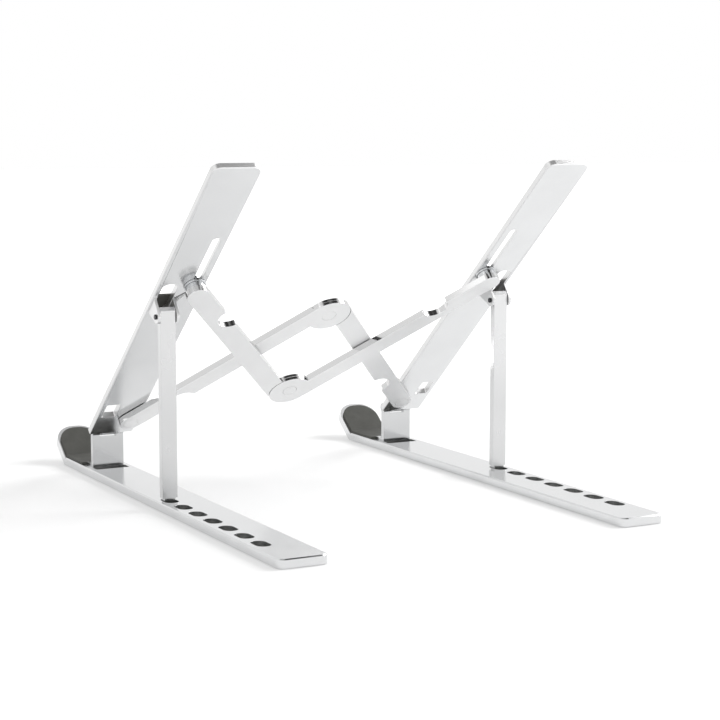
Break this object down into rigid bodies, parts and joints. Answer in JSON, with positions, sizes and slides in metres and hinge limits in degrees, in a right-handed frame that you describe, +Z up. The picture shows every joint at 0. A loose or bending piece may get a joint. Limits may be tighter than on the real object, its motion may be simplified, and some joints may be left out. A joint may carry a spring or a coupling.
{
  "type": "laptop stand",
  "caption": "Folding laptop stand: two rails with hooks, hinged sloping strips held by legs in ratchet slots, joined by a closing scissor.",
  "frame": {"origin": "bottom centre of the opened stand, on the table", "axes": "+Z up, +X to the right as the user sits, +Y from the hooks at the front to the back"},
  "size_m": [0.1816, 0.2658, 0.1528],
  "materials": {
    "rail_metal": "satin",
    "strip_metal": "satin",
    "arm_metal": "satin",
    "leg_metal": "satin",
    "bracket_metal": "polished",
    "pin_metal": "polished",
    "rivet_metal": "satin",
    "dark_steel": "satin",
    "dark_washer": "matte",
    "rubber": "matte"
  },
  "bodies": {
    "base_right": {"right_base_rail": "rail_metal", "right_hook_pad": "rubber", "right_under_pad": "rubber", "right_hinge_bracket": "bracket_metal", "right_bracket_screws": "pin_metal", "right_hinge_pin": "pin_metal"},
    "strip_right": {"right_upper_strip": "strip_metal", "right_strip_pad": "rubber", "right_fixed_rivet": "rivet_metal", "right_fixed_spacer": "dark_washer", "right_leg_pin": "dark_steel"},
    "leg_right": {"right_support_leg": "leg_metal"},
    "fixed_arm_right": {"right_fixed_arm": "arm_metal", "right_crossing_rivet": "rivet_metal", "right_crossing_washer": "dark_washer", "upper_joint_rivet": "rivet_metal"},
    "slider_arm_right": {"right_slider_arm": "arm_metal", "right_slider_stud": "pin_metal", "right_slider_washer": "pin_metal", "lower_joint_rivet": "rivet_metal"},
    "base_left": {"left_base_rail": "rail_metal", "left_hook_pad": "rubber", "left_under_pad": "rubber", "left_hinge_bracket": "bracket_metal", "left_bracket_screws": "pin_metal", "left_hinge_pin": "pin_metal"},
    "strip_left": {"left_upper_strip": "strip_metal", "left_strip_pad": "rubber", "left_fixed_rivet": "rivet_metal", "left_fixed_spacer": "dark_washer", "left_leg_pin": "dark_steel"},
    "leg_left": {"left_support_leg": "leg_metal"},
    "fixed_arm_left": {"left_fixed_arm": "arm_metal", "left_crossing_rivet": "rivet_metal", "left_crossing_washer": "dark_washer"},
    "slider_arm_left": {"left_slider_arm": "arm_metal", "left_slider_stud": "pin_metal", "left_slider_washer": "pin_metal"}
  },
  "joints": [
    {"name": "strip_tilt", "type": "hinge", "parent": "base_right", "child": "strip_right", "pos_m": [0.0798, -0.08312, 0.0217], "axis": [1, 0, 0], "range_deg": [0, 39.6]},
    {"name": "left_base_tilt", "type": "hinge", "parent": "strip_left", "child": "base_left", "pos_m": [-0.0798, -0.08312, 0.0217], "axis": [-1, 0, 0], "range_deg": [0, 39.6]},
    {"name": "right_leg_swing", "type": "hinge", "parent": "strip_right", "child": "leg_right", "pos_m": [0.0851, 0.00853, 0.0853], "axis": [-1, 0, 0], "range_deg": [0, 49.5]},
    {"name": "left_leg_swing", "type": "hinge", "parent": "strip_left", "child": "leg_left", "pos_m": [-0.0851, 0.00853, 0.0853], "axis": [-1, 0, 0], "range_deg": [0, 49.5]},
    {"name": "scissor_close", "type": "hinge", "parent": "strip_right", "child": "fixed_arm_right", "pos_m": [0.074, -0.06821, 0.02906], "axis": [0, 0.6489, -0.7609], "range_deg": [0, 38.5]},
    {"name": "right_crossing", "type": "hinge", "parent": "fixed_arm_right", "child": "slider_arm_right", "pos_m": [0.0303, -0.0272, 0.06403], "axis": [0, -0.6489, 0.7609], "range_deg": [0, 77]},
    {"name": "upper_middle_joint", "type": "hinge", "parent": "fixed_arm_right", "child": "fixed_arm_left", "pos_m": [0, -0.00511, 0.08287], "axis": [0, -0.6489, 0.7609], "range_deg": [0, 77]},
    {"name": "lower_middle_joint", "type": "hinge", "parent": "slider_arm_right", "child": "slider_arm_left", "pos_m": [0, -0.04929, 0.04519], "axis": [0, 0.6489, -0.7609], "range_deg": [0, 77]},
    {"name": "left_fixed_joint", "type": "hinge", "parent": "fixed_arm_left", "child": "strip_left", "pos_m": [-0.074, -0.06821, 0.02906], "axis": [0, 0.6489, -0.7609], "range_deg": [0, 38.5]}
  ],
  "couplings": [
    {"joint": "left_base_tilt", "follows": "strip_tilt", "ratio": 1},
    {"joint": "right_leg_swing", "follows": "strip_tilt", "ratio": 1.25},
    {"joint": "left_leg_swing", "follows": "strip_tilt", "ratio": 1.25},
    {"joint": "right_crossing", "follows": "scissor_close", "ratio": 2},
    {"joint": "upper_middle_joint", "follows": "scissor_close", "ratio": 2},
    {"joint": "lower_middle_joint", "follows": "scissor_close", "ratio": 2},
    {"joint": "left_fixed_joint", "follows": "scissor_close", "ratio": 1}
  ]
}
